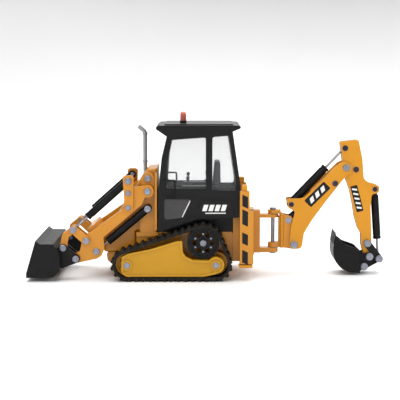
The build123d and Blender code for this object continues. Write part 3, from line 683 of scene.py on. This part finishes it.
# ---------------------------------------------------------------- sub-assemblies
@dataclass
class PinHeads:
    """Rivet and screw heads on the ends of every visible pin."""

    bench: Bench
    sink: float = 0.03 * MM   # how deep a head sits in its pin's end
    share: float = 0.94       # a head's radius as a share of the pin's flat head

    def heads_on(self, node: str, body: str, screws: Sequence[int] = (),
                 hidden: Sequence[int] = ()) -> None:
        """Adds a head on each outer end of a pin part's solids.

        Args:
            node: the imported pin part.
            body: the body it rides on.
            screws: which solids, in order, are dark screws instead of rivets.
            hidden: which solids have both ends between other parts, and so stay plain.
        """
        rivets, dark = bmesh.new(), bmesh.new()
        for number, (low, high) in enumerate(self.bench.lumps(node)):
            middle = (low + high) / 2
            radius = (high.z - low.z) / 2 * self.share
            if number in hidden:
                continue
            through = low.y < 0.0 < high.y
            for side in (-1, 1):
                if not through and side * middle.y < 0:
                    continue
                end = high.y if side > 0 else low.y
                make = screw_head if number in screws else rivet_head
                head = sideways(make(radius), middle.x, end - side * self.sink, middle.z, side)
                grow(dark if number in screws else rivets, head)
        for name, mesh, finish in (("rivets", rivets, Finish.RIVET), ("screws", dark, Finish.SCREW)):
            if mesh.faces:
                self.bench.fit(f"{node}_{name}", mesh, body, finish, "steel")
            else:
                mesh.free()

    def make(self) -> None:
        """Adds every head."""
        for node, body in (("tower_pins", "root"), ("track_axles", "root"), ("arm_pins", "arms"),
                           ("rocker_pins", "rocker_pair"), ("front_bucket_pins", "loader_bucket"),
                           ("curl_rocker_pins", "curl_rocker_pair"),
                           ("digger_pin", "digger")):
            self.heads_on(node, body)
        self.heads_on("kingpost_pins", "swing_post", hidden=(0,))
        self.heads_on("boom_pins", "boom", (0, 1))
        self.heads_on("dipper_pins", "dipper", (0, 1, 3))


@dataclass
class Graphics:
    """Printed panels: plain bars and slanted blocks, with no lettering."""

    bench: Bench
    film: float = 0.05 * MM
    leg_x: float = 17.45 * MM
    leg_blocks: Spots = (
        (37.6 * MM, 5.4 * MM), (29.9 * MM, 7.0 * MM), (19.9 * MM, 5.2 * MM), (11.2 * MM, 6.0 * MM),
    )
    boom_centre: Spot = (52.9 * MM, 39.0 * MM)
    boom_angle: float = 45.0
    dipper_centre: Spot = (72.2 * MM, 36.8 * MM)
    dipper_angle: float = -75.0
    cab_centre: Spot = (3.15 * MM, 34.3 * MM)
    cab_line: Spot = (3.6 * MM, 31.8 * MM)

    def print_on(self, name: str, shapes: Iterable[tuple[list[tuple[float, float]], float]], y: float,
                 body: str, finish: Finish, lift: float = 0.0) -> None:
        """Prints shapes on both sides of a part.

        Args:
            name: the piece's name.
            shapes: pairs of corners and corner radius.
            y: distance of the printed face from the middle plane.
            body: the body it rides on.
            finish: the ink.
            lift: height of the film below this one.
        """
        mesh = bmesh.new()
        for corners, radius in shapes:
            for side in (-1, 1):
                grow(mesh, panel(corners, side * (y + lift), self.film, radius, side))
        slot = "black_plastic" if finish is Finish.PRINT_BLACK else "yellow_plastic"
        self.bench.fit(name, mesh, body, finish, slot)

    def legs(self) -> None:
        """Slanted warning blocks down each stabiliser housing."""
        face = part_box("rear_frame")[1].y
        shapes = [(tilted_box((self.leg_x, height), length, 2.7 * MM, 90.0, 1.3 * MM), 0.15 * MM)
                  for height, length in self.leg_blocks]
        self.print_on("leg_warning_blocks", shapes, face, "root", Finish.PRINT_BLACK)

    def boom(self) -> None:
        """Black plate with three slanted blocks along the boom."""
        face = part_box("boom_right_half")[1].y
        centre, angle = self.boom_centre, self.boom_angle
        plate = (tilted_box(centre, 13.2 * MM, 4.6 * MM, angle), 0.6 * MM)
        self.print_on("boom_print_plate", [plate], face, "boom", Finish.PRINT_BLACK)
        blocks = [(tilted_box(spot, 2.2 * MM, 2.3 * MM, angle, 1.2 * MM), 0.1 * MM)
                  for spot in spots_along(centre, angle, 3, 3.6 * MM)]
        self.print_on("boom_print_blocks", blocks, face, "boom", Finish.PRINT_WHITE, self.film)

    def dipper(self) -> None:
        """Narrow plate with slanted bars down the dipper."""
        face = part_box("dipper_right_half")[1].y
        centre, angle = self.dipper_centre, self.dipper_angle
        plate = (tilted_box(centre, 13.0 * MM, 3.4 * MM, angle), 0.5 * MM)
        self.print_on("dipper_print_plate", [plate], face, "dipper", Finish.PRINT_BLACK)
        bars = [(tilted_box(spot, 0.9 * MM, 2.3 * MM, angle, 0.9 * MM), 0.08 * MM)
                for spot in spots_along(centre, angle, 5, 2.3 * MM)]
        self.print_on("dipper_print_bars", bars, face, "dipper", Finish.PRINT_WHITE, self.film)

    def cab(self) -> None:
        """Row of slanted white blocks with a thin line under it on each cab side."""
        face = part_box("cab_base")[1].y
        shapes = [(tilted_box(spot, 2.1 * MM, 3.0 * MM, 0.0, 0.9 * MM), 0.12 * MM)
                  for spot in spots_along(self.cab_centre, 0.0, 4, 2.9 * MM)]
        shapes.append((tilted_box(self.cab_line, 9.6 * MM, 0.5 * MM, 0.0, 0.2 * MM), 0.05 * MM))
        self.print_on("cab_print_blocks", shapes, face, "root", Finish.PRINT_WHITE)

    def make(self) -> None:
        """Prints everything."""
        self.legs()
        self.boom()
        self.dipper()
        self.cab()


@dataclass
class TrackTrim:
    """Bolt heads on the drive wheels."""

    bench: Bench
    bolt: float = 0.55 * MM          # a bolt head's radius
    bolt_height: float = 0.5 * MM
    bolt_edge: float = 0.08 * MM     # how much of its rim is rounded
    recess: float = 0.9 * MM         # how far the bolt face lies inside the wheel's rim
    sink: float = 0.02 * MM

    def wheel(self, node: str, body: str, count: int, reach: float) -> None:
        """Adds a ring of bolt heads to a wheel's outer face.

        Args:
            node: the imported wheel.
            body: the body it rides on.
            count: how many bolts.
            reach: the bolt circle's radius as a share of the wheel's.
        """
        low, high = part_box(node)
        middle, radius = (low + high) / 2, (high.x - low.x) / 2
        side = 1 if middle.y > 0 else -1
        face = (high.y if side > 0 else low.y) - side * self.recess
        mesh = bmesh.new()
        for number in range(count):
            angle = 2 * math.pi * (number + 0.5) / count
            x = middle.x + radius * reach * math.cos(angle)
            z = middle.z + radius * reach * math.sin(angle)
            head = disc_stack(self.bolt, self.bolt_height, self.bolt_edge, 6)
            grow(mesh, sideways(head, x, face - side * self.sink, z, side))
        self.bench.fit(f"{node}_bolts", mesh, body, Finish.RIVET, "steel")

    def make(self) -> None:
        """Adds the bolts of both sides."""
        for side in ("left", "right"):
            self.wheel(f"{side}_drive_wheel", f"{side}_drive", 6, 0.56)


@dataclass
class CabTrim:
    """Low door panes, the ribs round the beacon and the exhaust's clamps."""

    bench: Bench
    rib_count: int = 12
    rib_size: tuple[float, float, float] = (0.2 * MM, 0.25 * MM, 2.4 * MM)
    rib_reach: float = 0.86          # distance from the lens axis as a share of the lens radius
    rib_rise: float = 1.8 * MM       # height of a rib's middle above the lens foot
    clamp_heights: tuple[float, ...] = (53.6 * MM, 67.2 * MM)
    wall: float = 19.0 * MM          # the cab's outer face
    exhaust_pipe: float = 1.0 * MM   # the exhaust's outer radius
    pane: Spots = (
        (-20.9 * MM, 28.0 * MM), (-20.9 * MM, 38.6 * MM),
        (-7.0 * MM, 38.6 * MM), (-11.5 * MM, 29.0 * MM),
    )
    # white strip along the low pane's slanted edge: a painted highlight where the glass edge catches
    # the light
    painted_glint_edge: Spots = (
        (-11.9 * MM, 29.7 * MM), (-12.3 * MM, 29.9 * MM),
        (-8.3 * MM, 38.2 * MM), (-7.8 * MM, 38.2 * MM),
    )

    def beacon(self) -> None:
        """Ribs round the lens foot."""
        low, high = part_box("beacon_lens")
        middle = (low + high) / 2
        radius = (high.x - low.x) / 2
        mesh = bmesh.new()
        size = Matrix.Diagonal((*self.rib_size, 1.0))
        for number in range(self.rib_count):
            angle = 2 * math.pi * number / self.rib_count
            rib = bmesh.new()
            bmesh.ops.create_cube(rib, size=1.0)
            reach = radius * self.rib_reach
            spot = Vector((reach * math.cos(angle), reach * math.sin(angle), 0))
            spot += Vector((middle.x, middle.y, low.z + self.rib_rise))
            place = Matrix.Translation(spot) @ Matrix.Rotation(angle, 4, "Z") @ size
            bmesh.ops.transform(rib, verts=rib.verts, matrix=place)
            grow(mesh, rib)
        self.bench.fit("beacon_ribs", mesh, "root", Finish.LENS, "orange_lens")

    def low_panes(self) -> None:
        """Smoked panes in the low window of each door, with a white strip down the slanted edge as a
        painted highlight on the glass edge.
        """
        panes, painted_glint = bmesh.new(), bmesh.new()
        for side in (-1, 1):
            grow(panes, panel(self.pane, side * (self.wall - 1.15 * MM), 0.5 * MM, 0.0, side))
            # the strip in front of the pane's slanted edge is a painted highlight, in white print
            # finish
            grow(painted_glint, panel(self.painted_glint_edge, side * (self.wall - 0.7 * MM), 0.3 * MM, 0.0, side))
        self.bench.fit("low_window_panes", panes, "root", Finish.SMOKED, "clear_glass")
        self.bench.fit("low_window_painted_glints", painted_glint, "root", Finish.PRINT_WHITE, "clear_glass")

    def exhaust(self) -> None:
        """Clamp rings round the upright stack."""
        low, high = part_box("exhaust_stack")
        x, y = high.x - self.exhaust_pipe, (low.y + high.y) / 2
        mesh = bmesh.new()
        for height in self.clamp_heights:
            ring = disc_stack(self.exhaust_pipe * 1.22, 0.9 * MM, 0.15 * MM)
            bmesh.ops.translate(ring, verts=ring.verts, vec=(x, y, height))
            grow(mesh, ring)
        self.bench.fit("exhaust_clamps", mesh, "root", Finish.EXHAUST, "bright_chrome")

    def make(self) -> None:
        """Adds the beacon ribs, the low panes with their painted highlight and the exhaust clamps."""
        self.beacon()
        self.low_panes()
        self.exhaust()


@dataclass
class Paintwork:
    """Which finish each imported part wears."""

    bench: Bench

    def table(self) -> dict[Finish, tuple[str, ...]]:
        """Parts by finish."""
        sides = ("left", "right")
        return {
            Finish.YELLOW_ENAMEL: ("chassis_frame", "engine_hood", "loader_towers", "rear_frame",
                                   "sideshift_carriage", "kingpost", "loader_arms", "tilt_links",
                                   "tilt_rockers"),
            Finish.FRAME_PLASTIC: tuple(f"{side}_track_frame" for side in sides),
            Finish.YELLOW_PLASTIC: (
                *(f"boom_{side}_half" for side in sides), *(f"dipper_{side}_half" for side in sides),
                *(f"{side}_{part}" for side in sides for part in (
                    "stabiliser_leg", "front_idler", "rear_idler"))),
            Finish.BLACK_PLASTIC: ("cab_base", "cab_frame", "cab_roof", "cab_interior", "grab_handles",
                                   "beacon_base", "curl_rocker", "left_drive_wheel",
                                   "right_drive_wheel"),
            Finish.RAM_BLACK: ("boom_ram_barrel", "dipper_ram_barrel", "curl_ram_barrel",
                               "lift_barrels", "tilt_barrels"),
            Finish.BUCKET_BLACK: ("digging_bucket", "front_bucket", "curl_link"),
            Finish.RUBBER: ("left_track_belt", "right_track_belt"),
            Finish.RIVET: ("tower_pins", "track_axles", "arm_pins", "rocker_pins", "front_bucket_pins",
                           "kingpost_pins", "boom_pins", "dipper_pins", "curl_rocker_pins",
                           "digger_pin", "swing_pin"),
            Finish.ROD: ("boom_ram_rod", "dipper_ram_rod", "curl_ram_rod", "lift_rods", "tilt_rods"),
            Finish.EXHAUST: ("exhaust_stack",),
            Finish.GLAZING: ("cab_glazing",),
            Finish.LENS: ("beacon_lens",),
        }

    def make(self) -> None:
        """Dresses every part and reports any that was forgotten."""
        dressed = set()
        for finish, nodes in self.table().items():
            for node in nodes:
                self.bench.dress(node, finish)
                dressed.add(node)
        for node in sorted(set(self.bench.frame["nodes"]) - dressed):
            LOG.warning("no finish for %s", node)


@dataclass
class Studio:
    """Pale round floor with a raised rim, soft lights and the camera."""

    aim: Vector
    distance: float = 0.53
    camera_height: float = 0.1026
    lens: float = 103.4
    floor_radius: float = 1.4
    rim: float = 0.8                 # radius of the floor's upturned edge
    glow: float = 0.4                # strength of the pale surroundings
    lights: tuple[tuple[str, Spot3, float, float], ...] = (
        # name, place, side length, watts
        ("key", (-0.45, -0.8, 0.75), 0.7, 4.6),
        ("fill", (0.7, -0.6, 0.5), 0.6, 1.8),
        ("top", (0.0, 0.15, 1.2), 1.2, 17.0),
        ("back", (0.2, 1.3, 1.1), 1.2, 12.0),
    )

    def floor(self) -> None:
        """Spins a profile into a shallow dish so that no edge of the floor shows."""
        mesh = bmesh.new()
        profile = [(0.0, 0.0), (self.floor_radius, 0.0)]
        for number in range(1, 9):
            angle = math.pi / 2 * number / 8
            profile.append((self.floor_radius + self.rim * math.sin(angle),
                            self.rim * (1 - math.cos(angle))))
        profile.append((self.floor_radius + self.rim, 2 * self.rim))
        ring = [mesh.verts.new((radius, 0, z)) for radius, z in profile]
        edges = [mesh.edges.new(pair) for pair in zip(ring, ring[1:])]
        bmesh.ops.spin(mesh, geom=[*ring, *edges], cent=(0, 0, 0), axis=(0, 0, 1),
                       angle=2 * math.pi, steps=64, use_merge=True)
        bmesh.ops.remove_doubles(mesh, verts=mesh.verts, dist=1e-5)
        bmesh.ops.recalc_face_normals(mesh, faces=mesh.faces)
        for face in mesh.faces:
            face.smooth = True
        data = bpy.data.meshes.new("floor")
        mesh.to_mesh(data)
        mesh.free()
        sheet = ShaderSheet("pale_floor")
        tone = sheet.noise(sheet.place(3.0), 2.0)
        data.materials.append(sheet.surface(
            Base_Color=sheet.blend(tone, (0.9, 0.9, 0.9), (0.87, 0.87, 0.87)),
            Roughness=0.7, Specular_IOR_Level=0.2))
        dish = bpy.data.objects.new("floor", data)
        bpy.context.scene.collection.objects.link(dish)
        dish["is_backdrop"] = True

    def light(self, name: str, place: Sequence[float], size: float, power: float) -> None:
        """Adds one square soft light that faces the toy.

        Args:
            name: the light's name.
            place: where it stands.
            size: its side length.
            power: its power in watts.
        """
        data = bpy.data.lights.new(name, "AREA")
        data.size = size
        data.energy = power
        lamp = bpy.data.objects.new(name, data)
        lamp.location = place
        lamp.rotation_euler = (self.aim - Vector(place)).to_track_quat("-Z", "Y").to_euler()
        bpy.context.scene.collection.objects.link(lamp)

    def camera(self) -> None:
        """Stands the camera square to the toy's side, a little above it."""
        data = bpy.data.cameras.new("camera")
        data.lens = self.lens
        data.clip_start, data.clip_end = 0.01, 20.0
        camera = bpy.data.objects.new("camera", data)
        camera.location = self.aim + Vector((0.0, -self.distance, 0.0))
        camera.location.z = self.camera_height
        camera.rotation_euler = (self.aim - camera.location).to_track_quat("-Z", "Y").to_euler()
        bpy.context.scene.collection.objects.link(camera)
        bpy.context.scene.camera = camera

    def world(self) -> None:
        """Even pale surroundings."""
        world = bpy.data.worlds.new("studio")
        world.use_nodes = True
        background = world.node_tree.nodes["Background"]
        background.inputs["Color"].default_value = (1.0, 1.0, 1.0, 1.0)
        background.inputs["Strength"].default_value = self.glow
        bpy.context.scene.world = world
        bpy.context.scene.view_settings.view_transform = "Standard"

    def make(self) -> None:
        """Sets up the whole studio."""
        self.floor()
        for name, place, size, power in self.lights:
            self.light(name, place, size, power)
        self.camera()
        self.world()


def main() -> None:
    """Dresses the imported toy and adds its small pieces."""
    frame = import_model()
    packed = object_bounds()
    bench = Bench(frame, FinishShop())
    builders: list[Callable[[], None]] = [
        Paintwork(bench).make,
        PinHeads(bench).make,
        Graphics(bench).make,
        TrackTrim(bench).make,
        CabTrim(bench).make,
    ]
    for build in builders:
        build()
    near_side = packed[0].y
    Studio(Vector((AIM_X, near_side, AIM_Z))).make()


if __name__ == "__main__":
    logging.basicConfig(level=logging.INFO)
    main()
